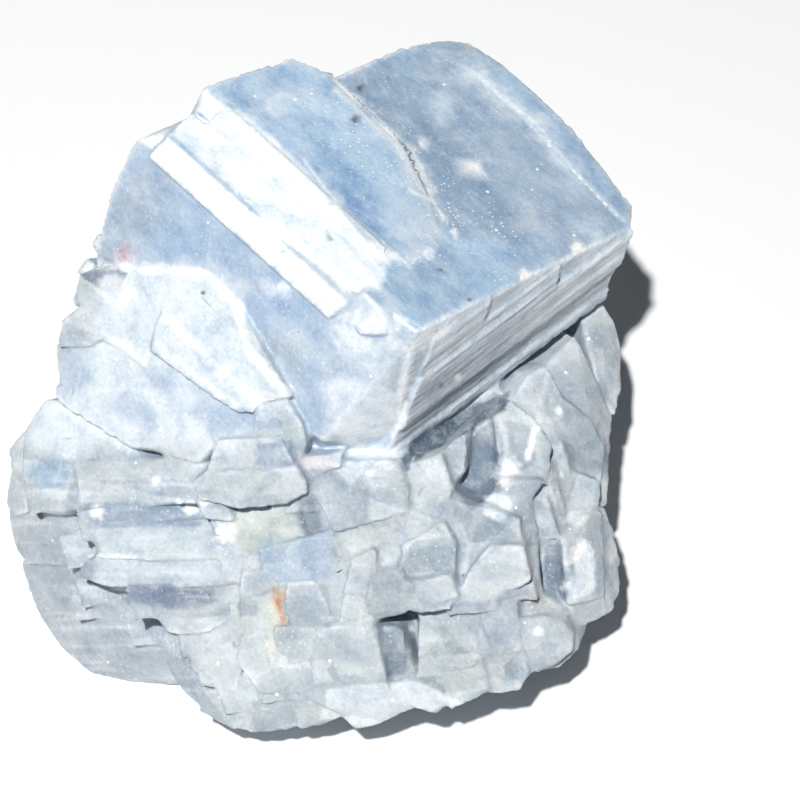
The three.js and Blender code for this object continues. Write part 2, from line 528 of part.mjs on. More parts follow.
function backBlocks() {
  const jitter = seeded(SEED + 2);
  const found = [];
  const rows = [
    { height: 4.5, reach: 26, depth: 22, first: -150, last: 200, count: 26 },
    { height: 10, reach: 24, depth: 19, first: -75, last: -14, count: 6 },
    { height: 13, reach: 27, depth: 25, first: -14, last: 186, count: 14 },
    { height: 21, reach: 22, depth: 21, first: -4, last: 160, count: 11 },
  ];
  for (const { height, reach, depth, first, last, count } of rows) {
    for (let i = 0; i < count; i += 1) {
      const angle = degrees(first + ((last - first) * (i + jitter(0.15, 0.85))) / count);
      const [u, v, w] = backLattices[Math.floor(jitter(0, backLattices.length))];
      const leftward = Math.max(0, -Math.cos(angle));
      const middle = standing(
        (reach - 4.5 * leftward) * Math.cos(angle) - 2,
        depth * Math.sin(angle) + 3,
        height + jitter(-3, 3),
      );
      const sides = [jitter(5, 12), jitter(5, 13), jitter(6, 12)];
      const corners = [];
      for (const p of [-0.5, 0.5]) {
        for (const q of [-0.5, 0.5]) {
          for (const r of [-0.5, 0.5]) {
            corners.push(
              middle
                .clone()
                .addScaledVector(u, p * sides[0])
                .addScaledVector(v, q * sides[1])
                .addScaledVector(w, r * sides[2]),
            );
          }
        }
      }
      found.push(solidOf(corners));
    }
  }
  return found;
}

// What would reach below the table top is cut off flat: the face that the mass rests on.
function belowTable() {
  const reach = 70;
  const corners = [];
  for (const x of [-reach, reach]) {
    for (const y of [-reach, reach]) {
      for (const z of [-reach, 0]) corners.push(standing(x, y, z));
    }
  }
  return solidOf(corners);
}

// The blocks close off a few pockets between them. The real mass is solid there, so only the outer
// skin is kept.
function withoutPockets(solid) {
  return solid.decompose().reduce((best, shell) => (shell.volume() > best.volume() ? shell : best));
}

const rhomb = joined([
  leftHalf(),
  rightHalf(),
  upperPlate(),
  ...partingBands(),
  partingSquare(),
  edgePlate(),
  ...frontLedges(),
]);

const mass = joined([
  rhomb,
  ...body(),
  ...backBlocks(),
  ...leftPlates(),
  ...edgeLumps(),
  ...leftShelves(),
  ...leftFoot(),
  ...middleCluster(),
  ...frontBlocks(),
  ...lowerLeftLobe(),
  ...rightColumns(),
]).subtract(belowTable());
const whole = withoutPockets(mass);

function geometryOf(solid) {
  const mesh = solid.getMesh();
  const positions = new Float32Array((mesh.vertProperties.length / mesh.numProp) * 3);
  const elevation = degrees(SIGHT_ELEVATION);
  for (let i = 0; i < positions.length / 3; i += 1) {
    const [x, y, z] = mesh.vertProperties.slice(i * mesh.numProp, i * mesh.numProp + 3);
    positions[3 * i] = x + SIGHT_SIDE;
    positions[3 * i + 1] = y * Math.sin(elevation) - z * Math.cos(elevation) + SIGHT_BACK;
    positions[3 * i + 2] = y * Math.cos(elevation) + z * Math.sin(elevation) + SIGHT_HEIGHT;
  }
  const geometry = new THREE.BufferGeometry();
  geometry.setAttribute("position", new THREE.BufferAttribute(positions, 3));
  geometry.setIndex(new THREE.BufferAttribute(new Uint32Array(mesh.triVerts), 1));
  geometry.computeVertexNormals();
  return geometry;
}

const calcite = new THREE.MeshStandardMaterial({ color: 0xa9bccd, roughness: 0.3, metalness: 0 });
const crystal = new THREE.Mesh(geometryOf(whole), calcite);
crystal.name = "calcite_crystal";

const part = new THREE.Group();
part.add(crystal);

export default part;
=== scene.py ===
# Blue calcite crystal: the looks of one natural mass of cloudy blue calcite on a pale table.
import math
import bmesh
import bpy
import numpy as np
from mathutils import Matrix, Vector, noise
from mathutils.bvhtree import BVHTree
from mathutils.kdtree import KDTree


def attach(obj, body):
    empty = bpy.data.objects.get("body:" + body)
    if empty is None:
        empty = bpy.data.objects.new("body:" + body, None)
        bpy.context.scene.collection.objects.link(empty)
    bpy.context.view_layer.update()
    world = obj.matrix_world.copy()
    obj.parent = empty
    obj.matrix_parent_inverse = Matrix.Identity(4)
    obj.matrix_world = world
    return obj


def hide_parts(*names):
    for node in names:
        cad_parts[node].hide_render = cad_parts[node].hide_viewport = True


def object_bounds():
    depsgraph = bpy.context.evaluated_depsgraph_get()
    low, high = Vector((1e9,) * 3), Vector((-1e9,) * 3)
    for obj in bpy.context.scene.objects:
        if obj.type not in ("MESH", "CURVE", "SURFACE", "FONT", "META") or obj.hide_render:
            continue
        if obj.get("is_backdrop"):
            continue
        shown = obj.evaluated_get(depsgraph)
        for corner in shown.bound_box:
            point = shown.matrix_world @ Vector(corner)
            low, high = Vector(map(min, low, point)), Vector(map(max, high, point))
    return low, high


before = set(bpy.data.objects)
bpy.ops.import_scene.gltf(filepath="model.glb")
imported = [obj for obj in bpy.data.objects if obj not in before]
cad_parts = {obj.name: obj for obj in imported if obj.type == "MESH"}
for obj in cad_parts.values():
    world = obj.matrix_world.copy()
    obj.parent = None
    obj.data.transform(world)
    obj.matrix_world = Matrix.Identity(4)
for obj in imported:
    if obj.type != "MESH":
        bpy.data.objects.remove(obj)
low, high = (np.array(corner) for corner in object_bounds())

# The form. One mass of calcite, broken along its cleavage: a large stepped rhomb over many small blocks.
# It grew and broke as one piece, so its solid is skinned anew in fine cells that carry its chips and steps.
MM = 0.001
CELL = 0.27 * MM
FACES_KEPT = 190000


def object_of(name, mesh):
    """An object in the scene that holds a mesh."""
    made = bpy.data.objects.new(name, mesh)
    bpy.context.scene.collection.objects.link(made)
    return made


def worked(mesh, kind, **settings):
    """The mesh that one modifier of this kind makes of a mesh."""
    blank = object_of("blank", mesh)
    step = blank.modifiers.new("step", kind)
    if "weights" in settings:
        group = blank.vertex_groups.new(name="kept")
        for share, found in settings.pop("weights"):
            group.add(found, share, "REPLACE")
        step.vertex_group = "kept"
    for key, value in settings.items():
        setattr(step, key, value)
    finished = blank.evaluated_get(bpy.context.evaluated_depsgraph_get())
    result = bpy.data.meshes.new_from_object(finished)
    bpy.data.objects.remove(blank)
    return result


def places(mesh):
    """Where each vertex of a mesh is."""
    found = np.empty(len(mesh.vertices) * 3)
    mesh.vertices.foreach_get("co", found)
    return found.reshape(-1, 3)


def outward(mesh):
    """Which way each vertex of a mesh faces."""
    found = np.empty(len(mesh.vertices) * 3)
    mesh.vertex_normals.foreach_get("vector", found)
    return found.reshape(-1, 3)


def eased(values, pairs, rounds):
    """Values averaged with those of their neighbours, round after round."""
    count = np.bincount(pairs.ravel(), minlength=len(values)).clip(1).astype(float)
    flat = values.reshape(len(values), -1).copy()
    for _ in range(rounds):
        for k in range(flat.shape[1]):
            total = np.bincount(pairs[:, 0], flat[pairs[:, 1], k], len(values))
            total += np.bincount(pairs[:, 1], flat[pairs[:, 0], k], len(values))
            flat[:, k] = 0.5 * flat[:, k] + 0.5 * total / count
    return flat.reshape(values.shape)


def cloud(points, seed, octaves=3):
    """Seeded soft noise from -1 to 1 at each point, in blobs about 1 across."""
    shift = Vector((seed * 17.3, seed * 5.1, seed * 9.7))
    return np.array([noise.fractal(Vector(p) + shift, 1.0, 2.0, octaves) for p in points]).clip(-1, 1)


shape = bmesh.new()
shape.from_mesh(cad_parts["calcite_crystal"].data)
bmesh.ops.remove_doubles(shape, verts=shape.verts, dist=1e-7)
bmesh.ops.triangulate(shape, faces=shape.faces)

# The large rhomb's blunt corner and its three cleavage edges; the small blocks in front lie otherwise.
CORNER = np.array([12.5, -7.78, 43.82]) * MM
RHOMB_EDGES = np.array([[-0.735, 0.625, 0.262], [0.728, 0.635, -0.260], [-0.315, -0.328, -0.891]])
FRONT_EDGES = np.array([[0.302, -0.781, -0.547], [0.18, 0.767, -0.617], [-0.995, -0.081, -0.057]])

# The mass is laid out as it is sighted: millimetres across and up, on the plane through its middle.
SIGHT = np.array([10.1, -189.99, 291.05]) * MM
SIGHT_REACH = 333.33
SIGHT_LEAN = math.radians(55)
SIGHT_UP = np.array([0, math.sin(SIGHT_LEAN), math.cos(SIGHT_LEAN)])
SIGHT_OUT = np.array([0, -math.cos(SIGHT_LEAN), math.sin(SIGHT_LEAN)])


def laid_out(points):
    """How far across and up each point is seen."""
    sightline = points - SIGHT
    reach = -(sightline @ SIGHT_OUT)
    return SIGHT_REACH * sightline[:, 0] / reach, SIGHT_REACH * (sightline @ SIGHT_UP) / reach


# Deep pits between the blocks are filled by small blocks of the same lie, set a little below their rims.
skin = BVHTree.FromBMesh(shape)


def from_sight(across_to, up_to):
    """The way from the eye to a place as laid out."""
    return (np.array([across_to, 0, 0]) + up_to * SIGHT_UP) / SIGHT_REACH - SIGHT_OUT


def filled(across_to, up_to, wide, tall, sunk):
    """Sets a block this wide and tall to each side of a place, sunk this far under the rims round it."""
    depths = []
    for k in range(12):
        x = across_to + 1.5 * wide * math.cos(k * math.pi / 6)
        y = up_to + 1.5 * tall * math.sin(k * math.pi / 6)
        struck = skin.ray_cast(Vector(SIGHT), Vector(from_sight(x, y)).normalized())[0]
        if struck is not None:
            depths.append((SIGHT - np.array(struck)) @ SIGHT_OUT)
    reach = np.median(depths) + (sunk + tall) * MM
    middle_of = SIGHT + from_sight(across_to, up_to) * reach
    made = bmesh.ops.create_cube(shape, size=2.0)["verts"]
    sides = (FRONT_EDGES[2] * wide, FRONT_EDGES[0] * tall, FRONT_EDGES[1] * tall)
    for vert in made:
        vert.co = Vector(middle_of + MM * sum(side * part for side, part in zip(sides, vert.co)))


for pit in (
    (-19, -19.6, 2.6, 2.2, 0.2), (-21.4, -28.6, 2.8, 2.4, 0.2), (-19, -35.6, 2.8, 2.4, 0.2),
    (-11.4, -14.2, 2.8, 2.6, 0.6), (-31.5, -14.6, 8, 2, 0.6), (-27, -24.4, 6, 2, 0.8),
    (-18.6, -26.6, 1.8, 1.8, 0.4), (19.2, -7, 1.8, 2, 0.2), (-1, -30.4, 2.4, 3, 0.6),
    (-38.6, -18.2, 2.8, 2, -0.5), (-30.6, -27.7, 2.8, 2.2, -0.5), (-36, -23.4, 3.6, 1.8, 0),
    (-38, -25.2, 2.4, 1.6, -0.3), (5.8, -32.3, 1.6, 1.1, 0.1), (9, -25, 3, 1.2, 0.1),
    (4, -24.4, 2, 1.2, 0.2), (14.5, -23.8, 2.4, 1, 0.2),
    (-19, -14.6, 4, 1.4, 0.3), (-13, -12, 2.6, 1.6, 0.3), (-7.6, -18.2, 1.4, 1.4, 0.3),
    (-14.8, -36, 2.6, 1.2, 0.3), (18.2, -10, 1.8, 2.8, 0.1), (17.8, -14, 1.6, 2.6, 0.1),
):
    filled(*pit)
bmesh.ops.triangulate(shape, faces=shape.faces)
healed = bpy.data.meshes.new("healed")
shape.to_mesh(healed)
fine = worked(healed, "REMESH", mode="VOXEL", voxel_size=CELL)
pairs = np.empty(len(fine.edges) * 2, dtype=np.int64)
fine.edges.foreach_get("vertices", pairs)
pairs = pairs.reshape(-1, 2)
at = places(fine)
away = outward(fine)

# How far each place stands out of its near and its wider surroundings, in millimetres: clefts are below 0.
EDGE_ROUNDS = 12
edge = np.einsum("ij,ij->i", at - eased(at, pairs, EDGE_ROUNDS), away) / MM
smooth_at = eased(at, pairs, EDGE_ROUNDS * 6)
hollow = np.einsum("ij,ij->i", at - smooth_at, away) / MM

across, up = laid_out(at)
to_eye = SIGHT - at
to_eye /= np.linalg.norm(to_eye, axis=1)[:, None]
healed_faces = [tuple(face.vertices) for face in healed.polygons]
healed_skin = BVHTree.FromPolygons([tuple(place) for place in places(healed)], healed_faces)
open_to = np.einsum("ij,ij->i", to_eye, away)
in_sight = np.zeros(len(at))
for i in np.nonzero(open_to > 0.05)[0]:
    start = Vector(at[i] + (0.5 * away[i] + 0.5 * to_eye[i]) * MM)
    in_sight[i] = healed_skin.ray_cast(start, Vector(to_eye[i]), 0.15)[0] is None
in_sight = eased(in_sight, pairs, 2) * ((open_to - 0.05) / 0.2).clip(0, 1)

lie = np.linalg.solve(RHOMB_EDGES.T, (at - CORNER).T).T / MM
lie_front = np.linalg.solve(FRONT_EDGES.T, (at - CORNER).T).T / MM
u, v, w = lie.T
# Ribs on the right face and the torn rim of the left plates both fall this much along the rhomb's edge.
FALL = 0.324
# Inside the rhomb's own space, from 0 outside to 1 inside, over half a millimetre.
within = np.minimum.reduce([u + 1, 43 - u, v + 3.6, 44 - v, w + 2, 27 - w])
on_rhomb = (within / 0.5).clip(0, 1) * ((v < 36.9) | (w < 12))
on_rhomb[(u < 3) & (w > 10.6 + FALL * (36.3 - v))] = 0
grain = np.where(on_rhomb[:, None] > 0.5, lie, lie_front)

# Which way the rhomb's faces look: its top, its ribbed right face, its left face and the bright strip.
TOP = np.array([0.336, 0.0, 0.942])
RIGHT = np.array([0.665, -0.746, 0.04])
LEFT = np.array([-0.481, -0.753, 0.448])
STRIP = np.array([-0.08, -0.463, 0.883])


def facing(direction, spread=0.06):
    """1 where the surface of the rhomb faces this way, falling to 0 as it turns away."""
    return on_rhomb * (1 - (1 - away @ direction) / spread).clip(0, 1)


top, right, left, strip = facing(TOP), facing(RIGHT, 0.1), facing(LEFT), facing(STRIP, 0.03)

drift = cloud(at / (13 * MM), 6)
mottle = cloud(at / (3.5 * MM), 7, 4)
streaks = cloud(grain / np.array([14, 1.6, 9]), 8, 4)
frayed = cloud(at / (1.5 * MM), 9, 3)


def seam(points, width, fray=0.3, shown=None):
    """How far each point lies on a thin line through some places as laid out, where it can be seen."""
    share = np.zeros(len(at))
    for (ax, ay), (bx, by) in zip(points, points[1:]):
        span = np.hypot(bx - ax, by - ay)
        part = (((across - ax) * (bx - ax) + (up - ay) * (by - ay)) / span**2).clip(0, 1)
        distance = np.hypot(across - ax - part * (bx - ax), up - ay - part * (by - ay)) / width
        share = np.maximum(share, (1.3 - distance - fray * frayed).clip(0, 1))
    return share * (in_sight if shown is None else shown)


# Fine relief: ribs down the right face, tiny steps along the cleavage, and chips out of every edge.
ribs = cloud(np.column_stack([(w + FALL * v) / 0.55, v / 14, np.zeros(len(at))]), 1, 2)
ribs = ribs + 0.5 * cloud(np.column_stack([(w + FALL * v) / 1.6, v / 9, np.zeros(len(at))]), 2, 2)
steps = np.round(cloud(grain / np.array([7, 2.4, 5]), 3, 2) * 6) / 6
feather = cloud(grain / np.array([0.7, 2.6, 2.6]), 4, 3)
chips = cloud(at / (1.3 * MM), 5, 3)
sharp = (edge / 0.14).clip(0, 1)
blocky = 1 - on_rhomb
RIB_HEIGHT = 0.16
STEP_HEIGHT = 0.20
FEATHER_HEIGHT = 0.05
CHIP_DEPTH = 0.3
raised = RIB_HEIGHT * right * ribs
raised += STEP_HEIGHT * steps * blocky
raised += FEATHER_HEIGHT * feather * blocky
raised -= CHIP_DEPTH * sharp * (chips + 0.05).clip(0, 1)
# The small blocks are healed together, so the clefts between them are shallow.
raised += 0.5 * blocky * (-hollow).clip(0, 1.6)
# The edges of the upper plates have worn down to a slope.
worn = seam([(-7.6, 38.8), (1.2, 30.9), (5.6, 22)], 2.2, 0)
worn = np.maximum(worn, seam([(-13, 33), (-6, 24), (-3, 19.5)], 2.2, 0))
worn = np.maximum(worn, (1.3 - np.hypot(across + 2.6, up - 9.6) / 4.5).clip(0, 1))
# Narrow slits between the blocks have closed up softly, down to their hidden bottoms.
for line, width in (
    ([(18.8, -10.2), (17.4, -12.6)], 0.9),
    ([(17.8, -17), (18.2, -24)], 0.8),
    ([(-31.4, -27), (-30.4, -28.4)], 1.3),
    ([(-38.6, -17.4), (-38.2, -18.8)], 1.1),
    ([(-38.8, -25.4), (-35.8, -26.4)], 0.9),
    ([(-44.6, -14.4), (-40.6, -14.6)], 0.8),
    ([(-33.6, -6.6), (-29, -6.9)], 0.7),
    ([(-2.6, -27.6), (1.6, -27.4)], 1.1),
    ([(1.6, -27.6), (1.2, -33)], 0.8),
    ([(5, -32.2), (7.2, -32.2)], 0.8),
    ([(5, -25.6), (16.4, -23.6)], 0.5),
    ([(-3.6, -21.2), (-2.2, -21.6)], 0.6),
    ([(0.6, 32), (3.2, 27), (5, 22.6)], 1.4),
):
    worn = np.maximum(worn, seam(line, width, 0, open_to > -0.5))
raised *= 1 - worn
# Easing and skinning have drawn the surface in a little, so it is let out again, but not at the foot.
LET_OUT = 0.10
raised += LET_OUT
foot = ((at[:, 2] / MM - 0.3) / 0.8).clip(0, 1)
shaped = at + away * (raised * foot * MM)[:, None] + worn[:, None] * (smooth_at - at)
shaped = shaped.clip(low, high)
fine.vertices.foreach_set("co", shaped.ravel())
fine.update()

# The markings. Where the stone is clear it is deep blue; bruised edges are frosted white; each cleavage block
# has a tone of its own; iron has stained a few clefts. Some shadows under overhangs, shade in clefts and
# gaps, and glare of the lamp are painted in as well. Sizes and places are millimetres as laid out.
WHITE = np.array([0.94, 0.96, 0.97])
PALE = np.array([0.51, 0.55, 0.555])
ICE = np.array([0.62, 0.68, 0.725])
BLUE = np.array([0.29, 0.43, 0.64])
STEEL = np.array([0.32, 0.38, 0.435])
SLATE = np.array([0.13, 0.18, 0.24])
FAR_SIDE = np.array([0.37, 0.48, 0.60])

# The tone of each facet, taken over the whole facet when it is small.
face_way = np.array([face.normal[:] for face in shape.faces])
face_at = np.array([face.calc_center_median()[:] for face in shape.faces])
face_size = np.array([face.calc_area() for face in shape.faces])
face_level = np.einsum("ij,ij->i", face_way, face_at)
names = np.column_stack([np.round(face_way * 10), np.round(face_level / (0.8 * MM))])
_, facet_of = np.unique(names, axis=0, return_inverse=True)
facet_of = facet_of.ravel()
facet_size = np.bincount(facet_of, face_size)
middle = np.column_stack([np.bincount(facet_of, face_size * face_at[:, k]) for k in range(3)])
middle /= facet_size[:, None]
facet_tone = np.random.default_rng(5).uniform(-1, 1, len(facet_size))
shape_tree = BVHTree.FromBMesh(shape)
nearest = facet_of[np.array([shape_tree.find_nearest(place)[2] for place in at])]
tone = facet_tone[nearest] * (1 - 0.85 * on_rhomb)
middle_across, middle_up = laid_out(middle)
SMALL_FACET = 60 * MM * MM
small = (facet_size[nearest] < SMALL_FACET) & (on_rhomb < 0.5)
patch_across = np.where(small, 0.65 * middle_across[nearest] + 0.35 * across, across)
patch_up = np.where(small, 0.65 * middle_up[nearest] + 0.35 * up, up)
shape.free()


def patch(*places_and_reach, fray=0.3, whole_facets=False):
    """How far each point lies in soft oval patches: across, up, half width, half height and tilt of each."""
    share = np.zeros(len(at))
    x = patch_across if whole_facets else across
    y = patch_up if whole_facets else up
    for middle_x, middle_y, wide, tall, tilt in places_and_reach:
        turn = math.radians(tilt)
        along = (x - middle_x) * math.cos(turn) + (y - middle_y) * math.sin(turn)
        aside = (y - middle_y) * math.cos(turn) - (x - middle_x) * math.sin(turn)
        distance = np.hypot(along / wide, aside / tall) + fray * (0.6 * mottle + 0.4 * frayed)
        share = np.maximum(share, ((1.25 - distance) / 0.5).clip(0, 1))
    return share * in_sight


def blend(base, paint, share):
    """A paint laid over a base as far as its share reaches at each point."""
    return base + (paint - base) * np.asarray(share).clip(0, 1)[:, None]


def block(*corners, soft=0.4):
    """How far each point lies in a block whose corners are given as laid out, in order round it."""
    x = across + 0.25 * frayed
    y = up + 0.25 * mottle
    inside = np.zeros(len(at), dtype=bool)
    distance = np.full(len(at), 99.0)
    for (ax, ay), (bx, by) in zip(corners, corners[1:] + corners[:1]):
        part = ((x - ax) * (bx - ax) + (y - ay) * (by - ay)) / ((bx - ax) ** 2 + (by - ay) ** 2)
        part = part.clip(0, 1)
        distance = np.minimum(distance, np.hypot(x - ax - part * (bx - ax), y - ay - part * (by - ay)))
        if ay != by:
            crossed = ((y > ay) != (y > by)) & (x < (bx - ax) * (y - ay) / (by - ay) + ax)
            inside ^= crossed
    return (0.5 + np.where(inside, distance, -distance) / soft).clip(0, 1) * in_sight


torn = cloud(at / (0.6 * MM), 11, 2)


def spots(*places_and_reach):
    """Round spots as laid out: across, up and half width."""
    share = np.zeros(len(at))
    for x, y, reach in places_and_reach:
        distance = np.hypot(across - x, up - y) / (1.3 * reach)
        share = np.maximum(share, (1.6 - distance - 0.5 * torn).clip(0, 1))
    return share * in_sight


def coated(base, *coats):
    """Paints laid over a base one after another, each with how far it covers each point."""
    for paint, share in coats:
        base = blend(base, np.asarray(paint), share)
    return base


colour = coated(
    np.tile(PALE, (len(at), 1)),
    (ICE, 0.15 + 0.4 * mottle),
    (STEEL, 0.5 * (tone - 0.05).clip(0, 1) + 0.25 * (drift - 0.1).clip(0, 1)),
    (BLUE, (0.15 + 0.4 * (1 - in_sight)) * (-drift + 0.1).clip(0, 1) * (0.6 + 0.4 * tone)),
    (WHITE, 0.3 * (-tone - 0.4).clip(0, 1)),
    (FAR_SIDE, 0.55 * (1 - in_sight) * (0.8 + 0.5 * drift + 0.3 * mottle).clip(0, 1)),
)

# The rhomb: blue faces with veils along the cleavage, a parting face painted white as a reflection of the
# lamp, a grey ribbed right face.
TOP_PALE = np.array([0.45, 0.61, 0.77])
TOP_BLUE = np.array([0.29, 0.42, 0.57])
TOP_SMOKY = np.array([0.36, 0.43, 0.52])
CLEAR_DARK = np.array([0.24, 0.35, 0.48])
CLEAR_BLUE = np.array([0.22, 0.38, 0.59])
CLEAR_DUSKY = np.array([0.30, 0.41, 0.55])
VEIL = np.array([0.62, 0.72, 0.80])
VEIL_BLUISH = np.array([0.66, 0.76, 0.86])
VEIL_THIN = np.array([0.56, 0.66, 0.76])
STRIP_GLARE = np.array([0.86, 0.91, 0.95])
LEFT_PALE = np.array([0.44, 0.54, 0.66])
LEFT_BLUE = np.array([0.33, 0.46, 0.63])
STRIP_BLUE = np.array([0.70, 0.78, 0.86])
RIGHT_GREY = np.array([0.48, 0.52, 0.57])
RIGHT_PALE = np.array([0.70, 0.76, 0.81])

top_blue = (0.5 + 0.35 * drift + 0.35 * mottle + 0.15 * streaks).clip(0, 1)
near_plate = block((-22, 32), (-13, 42), (-8, 40.5), (1, 30.5), (4, 22), (-3, 19.5))
far_plate = block((-9.4, 40.5), (1, 30.5), (5.5, 22), (24, 16), (28, 22), (8, 44))
far_dark = patch((-2.5, 37.5, 3, 2.2, -48), (5, 30.5, 5.5, 2.4, -48), (12, 23.8, 4.4, 1.8, -48), fray=0.7)
far_veils = seam([(8.6, 41.5), (18, 33.8), (21.5, 26.1), (24.4, 21)], 1.1, 0.6)
far_veils = (far_veils + seam([(1, 41.5), (4, 38.5), (6, 36)], 1, 0.8)).clip(0, 1)
glared_strip = block(
    (-24.4, 38.1), (-20, 36), (-12.5, 29.4), (-3.5, 19), (-1, 17.2), (-2.5, 13.8), (-6.9, 13.8),
    (-20, 26.2), (-26.2, 33.8), soft=0.8,
)
colour = coated(
    colour,
    (TOP_PALE + (TOP_BLUE - TOP_PALE) * top_blue[:, None], on_rhomb * (0.3 + 0.6 * (1 - in_sight))),
    (TOP_PALE, top),
    (TOP_BLUE, top * top_blue),
    (TOP_PALE + 0.04, 0.6 * top * near_plate),
    (TOP_PALE + 0.04, 0.6 * top * patch((10, 18.6, 3, 2, 0), fray=0.6)),
    (TOP_SMOKY, 0.5 * top * far_plate),
    (CLEAR_DARK, 0.75 * top * far_dark),
    (CLEAR_BLUE, 0.85 * top * patch((-6.6, 25.8, 6, 2.4, -50), fray=0.7)),
    (VEIL, 0.7 * top * (streaks - 0.2).clip(0, 0.7)),
    (CLEAR_DUSKY, 0.6 * top * patch((16.2, 21.8, 3, 2.4, 0), (6.5, 36, 3.2, 2.2, -40), fray=0.7)),
    (ICE, 0.7 * top * patch((2.4, 27, 5, 1.3, -62), (2.6, 21.6, 2.4, 1.4, 0), fray=0.8)),
    (WHITE, 0.95 * top * patch((-18, 30.5, 3.6, 2.4, -45), fray=0.5)),
    (WHITE, 0.45 * top * patch((-15, 37, 4, 1.2, 20), (-10, 24, 2, 3, -40), fray=0.8)),
    (VEIL_THIN, 0.7 * top * patch((2.5, 22.2, 3.6, 3, -40))),
    # Painted reflection: the parting face is painted white where the lamp glares off it.
    (STRIP_GLARE, 0.95 * on_rhomb * glared_strip * (0.9 + 0.4 * streaks).clip(0, 1)),
    (VEIL_BLUISH, 0.85 * top * far_veils),
    (LEFT_PALE, left),
    (LEFT_BLUE, 0.7 * left * patch((-25, 19, 8, 4.5, -40), (-16, 11, 5, 7, -45))),
    (ICE, 0.8 * left * patch((-20, 13.6, 1.6, 2.2, -40), (-16, 6, 3, 5, -50), fray=0.8)),
    (STEEL, 0.45 * left * patch((-15.6, 7.3, 1, 2, 35), (-34, 23, 3, 7, -30))),
    # Painted reflection: the bright strip, which faces the lamp, is painted white as well.
    (WHITE, strip * 0.95),
    (STRIP_BLUE, 0.7 * strip * ((v - 0.4) * (2.9 - v)).clip(0, 1)),
    (RIGHT_GREY, right),
    (RIGHT_PALE, right * ((9 - w) / 8).clip(0, 1)),
    (ICE, 0.45 * right * patch((18.6, 12.4, 6, 2.6, 35))),
    (STEEL, 0.6 * right * (ribs - 0.1).clip(0, 1)),
    (ICE, 0.5 * right * (-ribs - 0.3).clip(0, 1)),
)

# The plates on the left are pale; lower down the mass is bluer, and the gaps under the plates are painted
# dark as painted shade.
PLATE_PALE = np.array([0.70, 0.76, 0.80])
PLATE_BLUE = np.array([0.44, 0.53, 0.64])
LEFT_CORNER_BLUE = np.array([0.27, 0.39, 0.52])
BAND_GREY = np.array([0.42, 0.465, 0.505])
BAND_DUSKY = np.array([0.36, 0.41, 0.48])
BAND_PALE = np.array([0.56, 0.62, 0.66])
GAP_SHADE_BLUE = np.array([0.30, 0.37, 0.46])
GAP_SHADOW = np.array([0.15, 0.20, 0.29])

plates = block(
    (-37.5, 16.5), (-22, 16.5), (-17.5, 4), (-14.4, -0.8), (-18, -2.5), (-21, -6), (-48, -5), (-46, 0),
    (-38, 8), soft=3,
)
plate_windows = patch(
    (-33.6, -1.2, 3, 1.8, -40), (-24, 5.2, 2.2, 1, -40), (-26.8, 0.6, 6, 1.8, -37),
    (-17.6, -2.4, 2.2, 1.6, 0), (-41, 3.5, 2, 3, 0), (-22, -2.5, 3, 2, 0), (-15.4, -7.2, 2, 1.6, 0), fray=0.5,
)
lower_left = block(
    (-47, -12), (-38, -13), (-38, -17), (-36, -22), (-26, -24), (-26, -36), (-40, -34), (-48, -20),
)
bands = cloud(np.column_stack([across / 9, up, np.zeros(len(at))]), 10, 3)
banded = blocky * in_sight * ((-20 - across) / 4).clip(0, 1) * ((-4 - up) / 4).clip(0, 1)
colour = coated(
    colour,
    (PLATE_PALE, 0.85 * plates),
    (PLATE_BLUE, 0.7 * blocky * plate_windows),
    (ICE + 0.1, 0.6 * blocky * patch((-42.5, -5, 4, 2.2, 0), fray=0.6)),
    (LEFT_CORNER_BLUE, 0.9 * patch((-43.6, -9.4, 2.7, 2, 0), fray=0.4)),
    (BAND_GREY, 0.85 * lower_left),
    (BAND_DUSKY, 0.6 * patch((-30, -29.5, 5, 2.6, 10), (-40, -21.5, 4, 2, 0), fray=0.6)),
    (BAND_PALE, 0.8 * block((-38, -15.6), (-20, -15), (-20, -22.5), (-38, -23.2))),
    # Painted shade in the gap under the upper plates, and painted shadow in the gap under the lower plate.
    (GAP_SHADE_BLUE, 0.9 * block((-39.5, -12.8), (-25, -12.8), (-24.8, -15.8), (-39, -16))),
    (GAP_SHADOW, 0.9 * patch((-28.7, -24.5, 5.6, 1.4, -3), fray=0.5)),
    (STEEL, 0.6 * banded * (bands - 0.05).clip(0, 1)),
    (WHITE, 0.5 * banded * (-bands - 0.15).clip(0, 1)),
)
